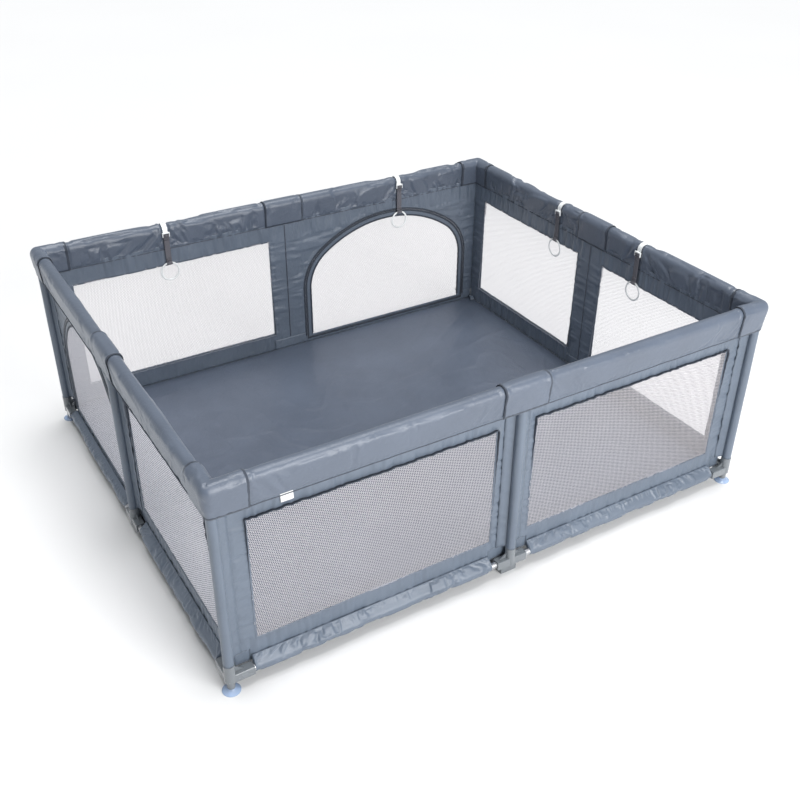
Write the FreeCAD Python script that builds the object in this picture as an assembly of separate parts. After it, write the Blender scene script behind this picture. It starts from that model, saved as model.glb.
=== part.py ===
import FreeCAD, Part
import math
import os
from FreeCAD import Vector

os.makedirs("parts", exist_ok=True)

# Playpen: a tube frame with padded top rails, mesh windows and two zip-open doors.
# Millimetres. The origin is on the floor under the middle, +X runs along the long side,
# +Y from the front wall to the back wall and +Z up.

# Overall sizes
post_spacing_x = 1740.0
post_spacing_y = 1460.0
height = 660.0

# Tubes and the connectors that join them
tube_od = 25.0
tube_wall = 1.2
bottom_tube_od = 20.0
bottom_rail_z = 47.0
socket_wall = 2.85
socket_top = 92.0
socket_floor = 36.0
fit_gap = 0.3
plug_reach = 50.0
collar_reach = 18.0
corner_arm = 64.0
middle_arm = 50.0
arm_wall_side = 3.5
arm_wall_top = 2.5
tube_entry = 22.0
rib_thickness = 3.0
rib_rise = 16.0
rib_run = 26.0
foot_width = 55.0
foot_depth = 40.0
stem_radius = 11.0
cup_radius = 24.5
cup_height = 14.0
cup_neck = 6.0

# Padding and covers on the top rail
cover_thickness = 2.6
cover_gap = 0.4
pad_radius = 22.0
pad_drop = 68.0
pad_corner_gap = 1.0
corner_cover_reach = 90.0
middle_cover_reach = 75.0
flap_gap = 2.0

# Fabric walls
wall_thickness = 2.0
mesh_thickness = 1.0
sleeve_wall = 1.7
window_low = 128.0
window_below_pad = 61.0
window_from_corner = 88.0
window_from_middle = 67.0
notch_top = 95.0
floor_thickness = 3.0
floor_top = 58.0
bottom_sleeve_padding = 4.0
bottom_sleeve_rise = 33.0
door_sleeve_rise = 21.0

# Zip-open doors, each in the half of its wall that has negative u
door_from_middle = 72.0
door_from_corner = 66.0
door_sill = 72.0
door_gap = 1.0
door_below_pad = 39.0
door_rise = 248.0
door_side_radius = 190.0
door_border = 26.0
door_hem = 10.0
slider_low = 92.0
slider_width = 9.0
slider_length = 14.0
slider_thickness = 3.7
lug_thickness = 1.5
lug_radius = 2.2
pin_radius = 1.0
pin_stand_off = 2.9
eye_radius = 2.4
eye_width = 4.4
pull_width = 7.0
pull_length = 26.0
pull_thickness = 1.5
pull_clear = 4.5

# Pull-up rings, each hung on a strap from a clip over the rail
clip_pinch = 4.0
clip_thickness = 3.0
clip_width = 17.0
clip_hook = 8.0
clip_leg = 9.0
clip_plate = 3.5
clip_reach = 2.5
cheek_thickness = 2.5
cheek_drop = 12.0
bar_radius = 1.5
bar_drop = 15.0
strap_width = 20.0
strap_thickness = 1.6
strap_length = 103.0
top_loop_radius = 3.5
ring_radius = 31.5
ring_half_width = 3.5
ring_half_depth = 2.25
ring_loop_play = 1.5
ring_sag = 0.8
ring_places = {1: ("back", 447.0), 2: ("back", -487.0), 3: ("right", 185.0), 4: ("right", -235.0)}

# Care label on the front wall
label_u = -694.0
label_below_pad = 12.0
label_width = 34.0
label_height = 30.0
label_thickness = 0.8

# Lengths that follow
cover_radius = pad_radius + cover_gap + cover_thickness
rail_z = height - cover_radius
pad_end = pad_radius + pad_corner_gap
pad_low = rail_z - pad_drop
cover_low = pad_low - cover_gap - cover_thickness
half_x = post_spacing_x / 2
half_y = post_spacing_y / 2
socket_od = tube_od + fit_gap + 2 * socket_wall
sleeve_od = tube_od + 2 * fit_gap + 2 * sleeve_wall
wall_inset = socket_od / 2
wall_out = wall_inset + wall_thickness
pad_outer_foot = sleeve_od / 2 + 0.5
pad_inner_foot = wall_out + 0.5
arm_width = bottom_tube_od + 2 * arm_wall_side
arm_height = bottom_tube_od + 2 * arm_wall_top
bottom_sleeve_radius = bottom_tube_od / 2 + bottom_sleeve_padding
window_high = pad_low - window_below_pad
door_crown = pad_low - door_below_pad
door_spring = door_crown - door_rise
label_high = pad_low - label_below_pad
clip_radius = pad_radius - clip_pinch
clip_start = pad_radius + cover_gap
ring_loop_bore = ring_half_width + ring_loop_play
ring_loop_outer = ring_loop_bore + strap_thickness
bar_out = max(pad_radius + top_loop_radius, wall_out + ring_loop_outer + 1)
clip_end = bar_out + clip_reach

# Each side is drawn with u along the wall, v inward from the line of the posts
sides = {
    "front": (0.0, half_x, half_y),
    "right": (90.0, half_y, half_x),
    "back": (180.0, half_x, half_y),
    "left": (270.0, half_y, half_x),
}
corners = {
    "front_left": (0.0, -half_x, -half_y),
    "front_right": (90.0, half_x, -half_y),
    "back_right": (180.0, half_x, half_y),
    "back_left": (270.0, -half_x, half_y),
}
door_sides = ("back", "left")
along = Vector(1, 0, 0)
inward = Vector(0, 1, 0)
up = Vector(0, 0, 1)
nodes = {}


def block(u, v, z):
    return Part.makeBox(u[1] - u[0], v[1] - v[0], z[1] - z[0], Vector(u[0], v[0], z[0]))


def rod(radius, start, direction, length):
    return Part.makeCylinder(radius, length, Vector(*start), direction)


def pipe(outer, inner, start, direction, length):
    return rod(outer, start, direction, length).cut(rod(inner, start, direction, length))


def to_side(shape, side):
    turn, half, distance = sides[side]
    moved = shape.copy()
    moved.translate(Vector(0, -distance, 0))
    moved.rotate(Vector(0, 0, 0), up, turn)
    return moved


def to_corner(shape, corner):
    turn, x, y = corners[corner]
    moved = shape.copy()
    moved.rotate(Vector(0, 0, 0), up, turn)
    moved.translate(Vector(x, y, 0))
    return moved


def group(name, shapes):
    nodes[name] = Part.makeCompound(shapes)


def on_round(centre_z, radius, angle):
    return Vector(0, radius * math.cos(angle), centre_z + radius * math.sin(angle))


def tangent_point(centre_z, radius, foot, side):
    angle = math.atan2(foot[1], foot[0]) + side * math.acos(radius / math.hypot(*foot))
    return on_round(centre_z, radius, angle)


# Face across a rail: a round joined by tangents to one or two foot points
def rail_face(centre_z, radius, feet, arc_middle):
    start = tangent_point(centre_z, radius, feet[-1], 1)
    end = tangent_point(centre_z, radius, feet[0], -1)
    edges = [Part.Arc(start, on_round(centre_z, radius, arc_middle), end).toShape()]
    points = [end] + [Vector(0, foot[0], centre_z + foot[1]) for foot in feet] + [start]
    for one, other in zip(points, points[1:]):
        edges.append(Part.makeLine(one, other))
    return Part.Face(Part.Wire(edges))


def run(face, low, high):
    moved = face.copy()
    moved.translate(Vector(low, 0, 0))
    return moved.extrude(Vector(high - low, 0, 0))


def pad_face(grow, drop):
    feet = [(-pad_outer_foot - grow, -drop), (pad_inner_foot + grow, -drop)]
    return rail_face(rail_z, pad_radius + grow, feet, math.pi / 2)


# Three-centred arch in the plane of the wall, centred on u = 0
def arch_face(half_width, foot_z, inset):
    reach = half_width - door_side_radius
    crown_radius = (reach**2 + door_rise**2 - door_side_radius**2) / (2 * (door_rise - door_side_radius))
    crown_centre = door_crown - crown_radius
    lean = math.atan2(door_spring - crown_centre, reach)
    side_radius = door_side_radius - inset

    def on_side(angle):
        return Vector(reach + side_radius * math.cos(angle), 0, door_spring + side_radius * math.sin(angle))

    def mirrored(point):
        return Vector(-point.x, 0, point.z)

    foot = Vector(half_width - inset, 0, foot_z)
    spring = on_side(0)
    haunch = on_side(lean / 2)
    shoulder = on_side(lean)
    crown = Vector(0, 0, door_crown - inset)
    edges = [
        Part.makeLine(foot, spring),
        Part.Arc(spring, haunch, shoulder).toShape(),
        Part.Arc(shoulder, crown, mirrored(shoulder)).toShape(),
        Part.Arc(mirrored(shoulder), mirrored(haunch), mirrored(spring)).toShape(),
        Part.makeLine(mirrored(spring), mirrored(foot)),
        Part.makeLine(mirrored(foot), foot),
    ]
    return Part.Face(Part.Wire(edges))


def arch_plate(half_width, centre, foot_z, inset, v_low, thickness):
    plate = arch_face(half_width, foot_z, inset).extrude(Vector(0, thickness, 0))
    plate.translate(Vector(centre, v_low, 0))
    return plate


# Bottom connectors: an upright socket, arms for the bottom rails and a rib over each arm
def bottom_socket():
    low = bottom_rail_z - arm_height / 2
    return rod(socket_od / 2, (0, 0, low), up, socket_top - low)


def arm_solid(reach):
    low = bottom_rail_z - arm_height / 2
    arm = block((0, reach), (-arm_width / 2, arm_width / 2), (low, low + arm_height))
    top_edges = [edge for edge in arm.Edges if edge.BoundBox.ZMin > low + arm_height - 0.1
                 and edge.BoundBox.XLength > reach / 2]
    arm = arm.makeFillet(3.0, top_edges)
    shoulder = socket_od / 2 - 1.0
    rib_top = low + arm_height + rib_rise
    rib = Part.makePolygon([
        Vector(shoulder, -rib_thickness / 2, low + arm_height - 1.0),
        Vector(shoulder + rib_run, -rib_thickness / 2, low + arm_height - 1.0),
        Vector(shoulder, -rib_thickness / 2, rib_top),
        Vector(shoulder, -rib_thickness / 2, low + arm_height - 1.0),
    ])
    return arm.fuse(Part.Face(rib).extrude(Vector(0, rib_thickness, 0)))


def arm_bore(reach):
    radius = (bottom_tube_od + fit_gap) / 2
    return rod(radius, (tube_entry, 0, bottom_rail_z), along, reach - tube_entry + 1)


def turned(shape, angle):
    moved = shape.copy()
    moved.rotate(Vector(0, 0, 0), up, angle)
    return moved


post_bore = rod(tube_od / 2 + fit_gap / 2, (0, 0, socket_floor), up, socket_top)
stem = rod(stem_radius, (0, 0, cup_height - 2), up, bottom_rail_z - arm_height / 2 - cup_height + 4)
neck_bore = rod(cup_neck + fit_gap, (0, 0, 0), up, cup_height + 8)
corner_base = bottom_socket().fuse([arm_solid(corner_arm), turned(arm_solid(corner_arm), 90), stem])
corner_base = corner_base.cut([arm_bore(corner_arm), turned(arm_bore(corner_arm), 90), post_bore, neck_bore])
foot = block((-foot_width / 2, foot_width / 2), (0, foot_depth), (0, bottom_rail_z - arm_height / 2 + 1))
foot = foot.makeFillet(3.0, [edge for edge in foot.Edges if edge.BoundBox.ZLength > 10])
middle_base = bottom_socket().fuse([arm_solid(middle_arm), turned(arm_solid(middle_arm), 180), foot])
middle_base = middle_base.cut([arm_bore(middle_arm), turned(arm_bore(middle_arm), 180), post_bore])

# Suction cup: thin bell with a neck that pushes into the corner connector
cup_points = [(0, 5.0), (12.0, 4.0), (cup_radius - 1.7, 0), (cup_radius, 0), (cup_radius, 1.6), (13.0, 8.0),
              (9.0, cup_height - 2.3), (cup_neck, cup_height - 2.3), (cup_neck, cup_height + 7.5),
              (0, cup_height + 7.5), (0, 5.0)]
cup_outline = Part.makePolygon([Vector(r, 0, z) for r, z in cup_points])
suction_cup = Part.Face(cup_outline).revolve(Vector(0, 0, 0), up, 360)

# Top connectors: a hub with collars as wide as the tubes and plugs that go inside them
plug_radius = tube_od / 2 - tube_wall - fit_gap / 2


def collar_and_plug(direction):
    collar = rod(tube_od / 2, (0, 0, rail_z), direction, collar_reach)
    return collar.fuse(rod(plug_radius, (0, 0, rail_z), direction, plug_reach))


hub = Part.makeSphere(tube_od / 2, Vector(0, 0, rail_z))
corner_hub = hub.fuse([collar_and_plug(along), collar_and_plug(inward), collar_and_plug(-up)])
middle_hub = hub.fuse([collar_and_plug(along), collar_and_plug(-along), collar_and_plug(-up)])

# Upright posts and the fabric sleeves over them
post_length = rail_z - collar_reach - socket_floor
post = pipe(tube_od / 2, tube_od / 2 - tube_wall, (0, 0, socket_floor), up, post_length)
sleeve_low = socket_top + 0.5
sleeve = pipe(sleeve_od / 2, tube_od / 2 + fit_gap, (0, 0, sleeve_low), up, pad_low + 30 - sleeve_low)

# Covers: a shell over the pads, rounded round the post at a corner
cover_grow = cover_gap + cover_thickness
cover_drop = rail_z - cover_low
inside_drop = cover_drop + 10


def outer_round(grow, drop):
    radius = pad_radius + grow
    foot = (-pad_outer_foot - grow, -drop)
    top = Vector(0, 0, rail_z + radius)
    side = tangent_point(rail_z, radius, foot, -1)
    low = Vector(0, foot[0], rail_z - drop)
    middle = Vector(0, 0, rail_z - drop)
    edges = [
        Part.Arc(top, on_round(rail_z, radius, math.radians(135)), side).toShape(),
        Part.makeLine(side, low),
        Part.makeLine(low, middle),
        Part.makeLine(middle, top),
    ]
    return Part.Face(Part.Wire(edges)).revolve(Vector(0, 0, 0), up, 360)


def corner_shape(grow, drop, reach):
    leg = run(pad_face(grow, drop), 0, reach)
    other_leg = leg.mirror(Vector(0, 0, 0), Vector(1, -1, 0).normalize())
    return leg.fuse([other_leg, outer_round(grow, drop)])


corner_cover = corner_shape(cover_grow, cover_drop, corner_cover_reach)
corner_cover = corner_cover.cut(corner_shape(cover_gap, inside_drop, corner_cover_reach + 1))

middle_shell = run(pad_face(cover_grow, cover_drop), -middle_cover_reach, middle_cover_reach)
middle_shell = middle_shell.cut(
    run(pad_face(cover_gap, inside_drop), -middle_cover_reach - 1, middle_cover_reach + 1))
outer_space = block((-200, 200), (-60, 0), (cover_low - 20, rail_z))
middle_cover = middle_shell.cut(outer_space)
flap_pivot_v = -(pad_radius + cover_gap + cover_thickness / 2)
flap_pivot_z = rail_z - flap_gap
flap = middle_shell.common(block((-200, 200), (-60, 0), (cover_low - 20, flap_pivot_z)))
flap = flap.fuse(rod(cover_thickness / 2, (-middle_cover_reach, flap_pivot_v, flap_pivot_z), along,
                     2 * middle_cover_reach))

for corner in corners:
    nodes["bottom_corner_connector_" + corner] = to_corner(corner_base, corner)
    nodes["suction_cup_" + corner] = to_corner(suction_cup, corner)
    nodes["corner_post_" + corner] = to_corner(post, corner)
group("top_corner_connectors", [to_corner(corner_hub, corner) for corner in corners])
group("corner_covers", [to_corner(corner_cover, corner) for corner in corners])

for side in sides:
    nodes["bottom_tee_connector_" + side] = to_side(middle_base, side)
    nodes["middle_post_" + side] = to_side(post, side)
    nodes["cover_flap_" + side] = to_side(flap, side)
group("top_tee_connectors", [to_side(middle_hub, side) for side in sides])
group("middle_covers", [to_side(middle_cover, side) for side in sides])
group("post_sleeves", [to_corner(sleeve, corner) for corner in corners]
      + [to_side(sleeve, side) for side in sides])

# Rail tubes, the pads on the top rail and the gathered sleeves on the bottom rail
top_tubes = []
bottom_tubes = []
bottom_sleeves = []


# Under a door the sleeve is sewn lower, clear of the door as it folds out
def sleeve_face(rise):
    return rail_face(bottom_rail_z, bottom_sleeve_radius, [(wall_inset - fit_gap, rise)], math.radians(234))


def ring_groove(u):
    half_width = clip_width / 2 + 1
    core = clip_radius - cover_gap
    low = rail_z - bar_drop - 8
    space = block((u - half_width, u + half_width), (-40, 40), (low, rail_z + 40))
    kept = rod(core, (u - half_width, 0, rail_z), along, 2 * half_width)
    return space.cut(kept.fuse(block((u - half_width, u + half_width), (-core, core), (low, rail_z))))


for side in sides:
    half = sides[side][1]
    pads = []
    for hand in (1, -1):
        span = sorted((hand * collar_reach, hand * (half - collar_reach)))
        tube = pipe(tube_od / 2, tube_od / 2 - tube_wall, (span[0], 0, rail_z), along, span[1] - span[0])
        top_tubes.append(to_side(tube, side))
        span = sorted((hand * (tube_entry + fit_gap), hand * (half - tube_entry - fit_gap)))
        tube = pipe(bottom_tube_od / 2, bottom_tube_od / 2 - tube_wall, (span[0], 0, bottom_rail_z), along,
                    span[1] - span[0])
        bottom_tubes.append(to_side(tube, side))
        span = sorted((hand * window_from_middle, hand * (half - corner_arm - 1)))
        below_door = side in door_sides and hand < 0
        gather = run(sleeve_face(door_sleeve_rise if below_door else bottom_sleeve_rise), *span)
        gather = gather.cut(rod(bottom_tube_od / 2 + fit_gap, (-half, 0, bottom_rail_z), along, 2 * half))
        bottom_sleeves.append(to_side(gather, side))
        span = sorted((hand * pad_end, hand * (half - pad_end)))
        pad = run(pad_face(0, pad_drop), *span)
        pad = pad.cut(rod(tube_od / 2 + cover_gap, (-half, 0, rail_z), along, 2 * half))
        for ring_side, u in ring_places.values():
            if ring_side == side and u * hand > 0:
                pad = pad.cut(ring_groove(u))
        pads.append(to_side(pad, side))
    group("rail_pad_" + side, pads)
group("top_rail_tubes", top_tubes)
group("bottom_rail_tubes", bottom_tubes)
group("bottom_rail_sleeves", bottom_sleeves)

# Fabric walls as flat bands round each window, and round each door arch
wall = (wall_inset, wall_out)
mesh_out = (wall_inset + wall_out + mesh_thickness) / 2
mesh = (mesh_out - mesh_thickness, mesh_out)
window_meshes = []
for side in sides:
    half = sides[side][1]
    # The front and back walls run into the corner, the others butt against them
    wall_end = half - (wall_inset if side in ("front", "back") else wall_out)
    has_door = side in door_sides
    middle_low = -door_from_middle if has_door else -window_from_middle
    bands = [block((middle_low, window_from_middle), wall, (notch_top, pad_low))]
    for hand in (1, -1):
        door_half = has_door and hand < 0
        panel_end = half - (door_from_corner if door_half else window_from_corner)
        panel_start = door_from_middle if door_half else window_from_middle

        def band(u_one, u_two, z):
            return block(sorted((hand * u_one, hand * u_two)), wall, z)

        bands.append(band(panel_end, wall_end, (notch_top, pad_low)))
        floor_seam = floor_top - floor_thickness
        if door_half:
            bands.append(band(window_from_middle, half - corner_arm - 1, (floor_seam, door_sill)))
            centre = -(panel_start + panel_end) / 2
            arch_head = block((-panel_end, -panel_start), wall, (door_spring, pad_low))
            hole = arch_plate((panel_end - panel_start) / 2, centre, door_spring - 1, 0, wall_inset - 1,
                              wall_thickness + 2)
            head = arch_head.cut(hole)
            halves = [block((-panel_end, centre), wall, (door_spring, pad_low)),
                      block((centre, -panel_start), wall, (door_spring, pad_low))]
            bands.extend(head.common(piece) for piece in halves)
        else:
            bands.append(band(window_from_middle, half - corner_arm - 1, (floor_seam, notch_top)))
            bands.append(band(panel_start, panel_end, (notch_top, window_low)))
            bands.append(band(panel_start, panel_end, (window_high, pad_low)))
            span = sorted((hand * panel_start, hand * panel_end))
            window_meshes.append(to_side(block(span, mesh, (window_low, window_high)), side))
    group("wall_fabric_" + side, [to_side(piece, side) for piece in bands])
group("window_mesh", window_meshes)
nodes["floor_fabric"] = block((wall_out - half_x, half_x - wall_out), (wall_out - half_y, half_y - wall_out),
                              (floor_top - floor_thickness, floor_top))

# Doors: a bordered arch of mesh, with the zip slider and its pull on the leg next to the corner
for side in door_sides:
    half = sides[side][1]
    panel_end = half - door_from_corner
    half_width = (panel_end - door_from_middle) / 2
    centre = -(panel_end + door_from_middle) / 2
    door_low = door_sill + door_gap
    border = arch_plate(half_width, centre, door_low, door_gap, wall_inset, wall_thickness)
    hem_top = door_low + door_hem
    window = arch_plate(half_width, centre, hem_top, door_border, wall_inset - 1, wall_thickness + 2)
    infill = arch_plate(half_width, centre, hem_top, door_border, mesh[0], mesh_thickness)
    nodes["door_border_" + side] = to_side(border.cut(window), side)
    nodes["door_mesh_" + side] = to_side(infill, side)

    slider_u = (-panel_end - slider_width - 1, -panel_end - 1)
    middle_u = sum(slider_u) / 2
    body_v = (wall_inset - fit_gap - slider_thickness, wall_inset - fit_gap)
    body = block(slider_u, body_v, (slider_low, slider_low + slider_length))
    pin_v = body_v[0] - pin_stand_off
    pin_z = slider_low + slider_length - lug_radius - 1
    lug_gap = eye_width / 2 + fit_gap
    parts = []
    for hand in (1, -1):
        lug_u = sorted((middle_u + hand * lug_gap, middle_u + hand * (lug_gap + lug_thickness)))
        parts.append(block(lug_u, (pin_v, body_v[0] + 0.5), (pin_z - lug_radius, pin_z + lug_radius)))
        parts.append(rod(lug_radius, (lug_u[0], pin_v, pin_z), along, lug_thickness))
    parts.append(rod(pin_radius, (middle_u - lug_gap, pin_v, pin_z), along, 2 * lug_gap))
    nodes["zip_slider_" + side] = to_side(body.fuse(parts), side)
    eye = rod(eye_radius, (middle_u - eye_width / 2, pin_v, pin_z), along, eye_width)
    pull_v = (pin_v - pull_thickness / 2, pin_v + pull_thickness / 2)
    neck = block((middle_u - eye_width / 2, middle_u + eye_width / 2), pull_v, (pin_z - pull_clear, pin_z))
    tab = block((middle_u - pull_width / 2, middle_u + pull_width / 2), pull_v,
                (pin_z - pull_length, pin_z - pull_clear))
    hole = rod(pin_radius + fit_gap, (middle_u - eye_width, pin_v, pin_z), along, 2 * eye_width)
    nodes["zip_pull_" + side] = to_side(eye.fuse([neck, tab]).cut(hole), side)

# Pull-up rings
clips = []
for number, (side, u) in ring_places.items():
    clip_outer = clip_radius + clip_thickness
    low = rail_z - bar_drop
    plate_z = (rail_z - clip_leg, rail_z - clip_leg + clip_plate)
    half_width = clip_width / 2
    cheek_out = strap_width / 2 + 2 * fit_gap + cheek_thickness
    hook = pipe(clip_outer, clip_radius, (u - half_width, 0, rail_z), along, clip_width)
    below = (rail_z - clip_outer, rail_z)
    hook = hook.cut(block((u - clip_width, u + clip_width), (-clip_outer, clip_outer), below))
    pieces = [
        block((u - half_width, u + half_width), (-clip_outer, -clip_radius), (rail_z - clip_hook, rail_z)),
        block((u - half_width, u + half_width), (clip_radius, clip_outer), (plate_z[0], rail_z)),
        block((u - half_width, u + half_width), (clip_radius, clip_start + 1), plate_z),
        block((u - cheek_out, u + cheek_out), (clip_start, clip_end), plate_z),
        rod(bar_radius, (u - cheek_out + 1, bar_out, low), along, 2 * cheek_out - 2),
    ]
    for hand in (1, -1):
        cheek_u = sorted((u + hand * (cheek_out - cheek_thickness), u + hand * cheek_out))
        pieces.append(block(cheek_u, (clip_start, clip_end), (plate_z[0] - cheek_drop, plate_z[1])))
    clips.append(to_side(hook.fuse(pieces), side))

    ring_z = low - strap_length
    strap_u = u - strap_width / 2
    half_web = strap_thickness / 2
    web = block((strap_u, strap_u + strap_width), (bar_out - half_web, bar_out + half_web),
                (ring_z + ring_loop_bore + half_web, low - top_loop_radius + half_web))
    loops = [
        pipe(top_loop_radius, top_loop_radius - strap_thickness, (strap_u, bar_out, low), along, strap_width),
        pipe(ring_loop_outer, ring_loop_bore, (strap_u, bar_out, ring_z), along, strap_width),
    ]
    nodes["ring_strap_%d" % number] = to_side(web.fuse(loops), side)
    middle = Vector(ring_radius, 0, 0)
    wide = middle + Vector(ring_half_width, 0, 0)
    section = Part.Ellipse(wide, middle + Vector(0, ring_half_depth, 0), middle)
    ring = Part.Face(Part.Wire([section.toShape()])).revolve(Vector(0, 0, 0), inward, 360)
    ring.translate(Vector(u, bar_out, ring_z - ring_radius + ring_sag))
    nodes["pull_ring_%d" % number] = to_side(ring, side)
group("ring_clips", clips)

nodes["care_label"] = to_side(
    block((label_u, label_u + label_width), (wall_inset - label_thickness, wall_inset),
          (label_high - label_height, label_high)), "front")

for name, shape in nodes.items():
    shape.exportStep("parts/%s.step" % name)
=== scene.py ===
import math
import bmesh
import bpy
from mathutils import Matrix, Vector, noise


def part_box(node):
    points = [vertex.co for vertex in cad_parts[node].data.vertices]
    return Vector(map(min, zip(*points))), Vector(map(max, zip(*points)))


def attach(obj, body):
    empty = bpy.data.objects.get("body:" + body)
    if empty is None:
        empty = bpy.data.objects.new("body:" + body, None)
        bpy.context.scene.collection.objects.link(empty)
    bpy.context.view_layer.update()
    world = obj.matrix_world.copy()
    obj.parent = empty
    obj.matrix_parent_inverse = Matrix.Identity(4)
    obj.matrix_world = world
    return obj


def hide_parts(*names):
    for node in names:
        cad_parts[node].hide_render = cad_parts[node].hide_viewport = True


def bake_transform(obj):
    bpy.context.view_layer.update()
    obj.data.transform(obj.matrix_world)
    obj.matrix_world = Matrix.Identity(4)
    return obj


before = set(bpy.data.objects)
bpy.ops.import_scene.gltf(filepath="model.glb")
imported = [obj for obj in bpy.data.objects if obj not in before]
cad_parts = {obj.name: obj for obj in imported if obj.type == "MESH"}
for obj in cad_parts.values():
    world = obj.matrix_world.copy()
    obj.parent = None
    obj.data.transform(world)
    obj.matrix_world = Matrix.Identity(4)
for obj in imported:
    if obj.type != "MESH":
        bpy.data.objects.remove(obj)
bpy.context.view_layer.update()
scene = bpy.context.scene
print("frame loaded:", len(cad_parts), "nodes")

# camera, stage and light
cameraSettings = {
    "place": (-1.4186, -2.4433, 1.9876),
    "yaw": 0.5468,
    "pitch": 0.566,
    "roll": 0.0076,
    "lens": 45.0,
}
lightSettings = {
    "keyPower": 165, "keySize": 2.2, "keyPlace": (0.6, -4.1, 1.95), "keyAim": (0.1, -0.3, 0.35),
    "topPower": 2.7, "topAngle": 38, "topFrom": (0.1, 0.10, 1.0),
    "sky": 0.4, "floorWhite": 0.80,
}


def placeCamera(settings):
    yaw, pitch, roll = settings["yaw"], settings["pitch"], settings["roll"]
    forward = Vector((math.sin(yaw) * math.cos(pitch), math.cos(yaw) * math.cos(pitch), -math.sin(pitch)))
    right = Vector((math.cos(yaw), -math.sin(yaw), 0))
    above = right.cross(forward)
    across = right * math.cos(roll) + above * math.sin(roll)
    rise = above * math.cos(roll) - right * math.sin(roll)
    camera = bpy.data.objects.new("camera", bpy.data.cameras.new("camera"))
    camera.data.lens = settings["lens"]
    camera.data.sensor_width = 36.0
    turn = Matrix((across, rise, -forward)).transposed().to_4x4()
    camera.matrix_world = Matrix.Translation(settings["place"]) @ turn
    scene.collection.objects.link(camera)
    scene.camera = camera


def addLamp(name, kind, source, place=(0, 0, 0), **values):
    # source is the way from what is lit to the lamp
    light = bpy.data.lights.new(name, kind)
    for key, value in values.items():
        setattr(light, key, value)
    lamp = bpy.data.objects.new(name, light)
    lamp.location = place
    lamp.rotation_euler = Vector(source).to_track_quat("Z", "Y").to_euler()
    scene.collection.objects.link(lamp)


placeCamera(cameraSettings)
addLamp("keyLight", "AREA", Vector(lightSettings["keyPlace"]) - Vector(lightSettings["keyAim"]),
        lightSettings["keyPlace"], energy=lightSettings["keyPower"], shape="SQUARE", size=lightSettings["keySize"])
addLamp("topLight", "SUN", lightSettings["topFrom"], energy=lightSettings["topPower"],
        angle=math.radians(lightSettings["topAngle"]))
scene.view_settings.view_transform = "Standard"

studio = bpy.data.worlds.new("studio")
studio.use_nodes = True
sky = studio.node_tree
skyNodes = {n.type: n for n in sky.nodes}


def plug(tree, node, **values):
    # a value goes on the socket, an output is linked to it; in0, in1, in2 count the inputs
    for key, value in values.items():
        socket = node.inputs[int(key[2:]) if key.startswith("in") else key.replace("_", " ")]
        if isinstance(value, bpy.types.NodeSocket):
            tree.links.new(value, socket)
        else:
            socket.default_value = value


def addNode(tree, kind, settings=None, out=0, **values):
    node = tree.nodes.new("ShaderNode" + kind)
    for key, value in (settings or {}).items():
        setattr(node, key, value)
    plug(tree, node, **values)
    return node.outputs[out]


# the camera sees plain white, the pen is lit by a cool sky
plug(sky, skyNodes["BACKGROUND"], Color=(1, 1, 1, 1))
glow = addNode(sky, "Background", Color=(0.94, 0.97, 1.0, 1), Strength=lightSettings["sky"])
either = addNode(sky, "MixShader", in0=addNode(sky, "LightPath", out="Is Camera Ray"), in1=glow,
                 in2=skyNodes["BACKGROUND"].outputs[0])
plug(sky, skyNodes["OUTPUT_WORLD"], Surface=either)
scene.world = studio
print("camera and lights placed")


# materials
def startMaterial(name):
    material = bpy.data.materials.new(name)
    material.use_nodes = True
    tree = material.node_tree
    shader = next(n for n in tree.nodes if n.type == "BSDF_PRINCIPLED")
    return material, tree, shader, addNode(tree, "TexCoord", out="Object")


def tinted(tree, factor, base, dark, light):
    # the base colour drifts between a darker and a lighter shade
    ramp = tree.nodes.new("ShaderNodeValToRGB")
    for element, place, shade in zip(ramp.color_ramp.elements, (0.3, 0.7), (dark, light)):
        element.position = place
        element.color = (*(min(1, c * shade) for c in base), 1)
    plug(tree, ramp, Fac=factor)
    return ramp.outputs["Color"]


def summed(tree, values):
    total = values[0]
    for value in values[1:]:
        total = addNode(tree, "Math", {"operation": "ADD"}, in0=total, in1=value)
    return total


def wovenCloth(name, base, changes):
    # base is the cloth's own colour; its shade drifts a little over each panel
    s = {**slateSettings, **changes}
    material, tree, shader, place = startMaterial(name)
    drift = addNode(tree, "TexNoise", Vector=place, Scale=7.0, Detail=3.0)
    crumple = addNode(tree, "TexNoise", Vector=place, Scale=s["crumpleScale"], Detail=4.0, Distortion=0.9)
    creases = addNode(tree, "Bump", Height=crumple, Strength=s["crumple"], Distance=0.004)
    # fine threads across x, y and z: any flat panel shows two of the three
    threads = summed(tree, [addNode(tree, "TexWave", {"bands_direction": axis}, "Fac", Vector=place,
                                    Scale=0.314 / s["thread"], Distortion=0.4) for axis in "XYZ"])
    plug(tree, shader, Base_Color=tinted(tree, drift, base, 1 - s["drift"], 1 + s["drift"]),
         Roughness=addNode(tree, "MapRange", Value=drift, To_Min=s["rough"] - 0.05, To_Max=s["rough"] + 0.06),
         Normal=addNode(tree, "Bump", Height=threads, Strength=s["weave"], Distance=0.0002, Normal=creases),
         Specular_IOR_Level=s["gloss"], Sheen_Weight=s["sheen"], Sheen_Roughness=0.35,
         Sheen_Tint=(0.82, 0.9, 1.0, 1))
    return material


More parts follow.
